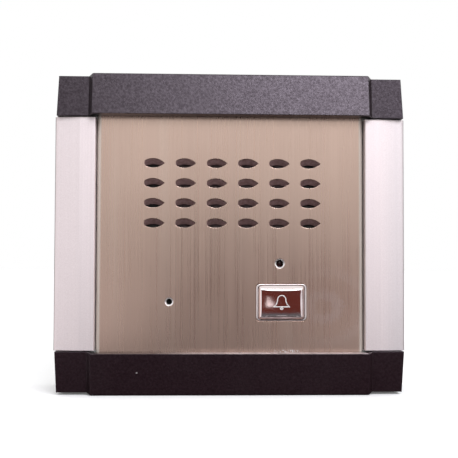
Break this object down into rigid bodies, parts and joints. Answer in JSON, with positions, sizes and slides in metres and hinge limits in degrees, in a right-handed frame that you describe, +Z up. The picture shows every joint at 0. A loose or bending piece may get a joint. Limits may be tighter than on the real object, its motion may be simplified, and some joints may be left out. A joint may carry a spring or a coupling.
{
  "type": "door intercom station",
  "caption": "Wall intercom station: louvred brushed steel faceplate between silver side rails, black end caps, square call button, hinged front on a back box.",
  "frame": {"origin": "centre of the bounding box at its base, on the surface it stands on", "axes": "+X to the right seen from the front, the front faces -Y, +Z up; the wall plane is at y = +20 mm"},
  "size_m": [0.1394, 0.04, 0.1268],
  "materials": {
    "rail": "satin silver anodised extrusion",
    "cap": "black fine-grained moulding",
    "plate": "vertically brushed stainless steel",
    "chrome": "polished chrome",
    "zinc": "bright zinc plate",
    "inner_plastic": "black moulding",
    "box": "dark grey moulding, fine grain",
    "rubber": "matt rubber",
    "board": "green solder mask",
    "terminal": "green moulding",
    "nylon": "natural nylon",
    "capacitor": "dark blue sleeve",
    "resistor": "beige lacquer",
    "trimmer": "blue housing",
    "rotor": "white rotor",
    "lamp": "tinted lens",
    "magnet": "dark ferrite",
    "cone": "pressed paper",
    "surround": "treated cloth",
    "spider": "resin cloth",
    "copper": "enamelled copper",
    "lead": "insulated lead",
    "gauze": "dark grey woven gauze"
  },
  "bodies": {
    "box": {"back_box": "box", "box_seal": "rubber", "cable_grommet": "rubber"},
    "front": {"rail_left": "rail", "rail_right": "rail", "faceplate": "plate", "button_bezel": "chrome", "bridge_top": "zinc", "bridge_bottom": "zinc", "rail_screws": "zinc", "plate_screws": "zinc", "fixing_screws": "zinc", "hinge_rod": "zinc", "plate_studs": "zinc", "button_guide": "inner_plastic", "button_retainer": "inner_plastic", "button_spring": "zinc", "switch_body": "inner_plastic", "led_lamp": "lamp", "led_holder": "inner_plastic", "mic_boot": "rubber", "mic_capsule": "zinc", "speaker_box": "inner_plastic", "dust_gauze": "gauze", "speaker_box_nuts": "zinc", "speaker_basket": "zinc", "speaker_top_plate": "zinc", "speaker_magnet": "magnet", "speaker_yoke": "zinc", "speaker_surround": "surround", "speaker_spider": "spider", "speaker_terminals": "resistor", "speaker_clips": "zinc", "speaker_clip_screws": "zinc", "speaker_leads": "lead", "circuit_board": "board", "board_spacers": "nylon", "board_nuts": "zinc", "terminal_block": "terminal", "terminal_screws": "zinc", "capacitors": "capacitor", "amplifier_chip": "inner_plastic", "resistors": "resistor", "speaker_connector": "nylon", "trimmer_bodies": "trimmer"},
    "top_cap": {"top_cap": "cap"},
    "bottom_cap": {"bottom_cap": "cap"},
    "call_button": {"call_button": "chrome"},
    "switch_plunger": {"switch_plunger": "rotor"},
    "speaker_trimmer_rotor": {"speaker_trimmer_rotor": "rotor"},
    "microphone_trimmer_rotor": {"microphone_trimmer_rotor": "rotor"},
    "speaker_cone": {"speaker_cone": "cone", "speaker_voice_coil": "copper", "speaker_dust_cap": "cone"}
  },
  "joints": [
    {"name": "front_hinge", "type": "hinge", "parent": "box", "child": "front", "pos_m": [-0.0671, -0.0011, 0.0634], "axis": [0, 0, -1], "range_deg": [0, 90]},
    {"name": "top_cap_pull", "type": "slide", "parent": "front", "child": "top_cap", "axis": [0, -1, 0], "range_m": [0, 0.012]},
    {"name": "bottom_cap_pull", "type": "slide", "parent": "front", "child": "bottom_cap", "axis": [0, -1, 0], "range_m": [0, 0.012]},
    {"name": "call_button_press", "type": "slide", "parent": "front", "child": "call_button", "axis": [0, 1, 0], "range_m": [0, 0.0014], "stiffness_N_per_m": 1200, "springref_m": -0.001, "deforming": ["button_spring"]},
    {"name": "switch_plunger_press", "type": "slide", "parent": "front", "child": "switch_plunger", "axis": [0, 1, 0], "range_m": [0, 0.00112]},
    {"name": "speaker_volume_turn", "type": "hinge", "parent": "front", "child": "speaker_trimmer_rotor", "pos_m": [-0.009, 0.005, 0.043], "axis": [0, 1, 0], "range_deg": [-135, 135]},
    {"name": "microphone_volume_turn", "type": "hinge", "parent": "front", "child": "microphone_trimmer_rotor", "pos_m": [0.011, 0.005, 0.043], "axis": [0, 1, 0], "range_deg": [-135, 135]},
    {"name": "speaker_cone_travel", "type": "slide", "parent": "front", "child": "speaker_cone", "axis": [0, -1, 0], "range_m": [-0.0004, 0.0004], "stiffness_N_per_m": 1500, "deforming": ["speaker_surround", "speaker_spider"]}
  ],
  "couplings": [
    {"joint": "switch_plunger_press", "follows": "call_button_press", "ratio": 0.8}
  ]
}
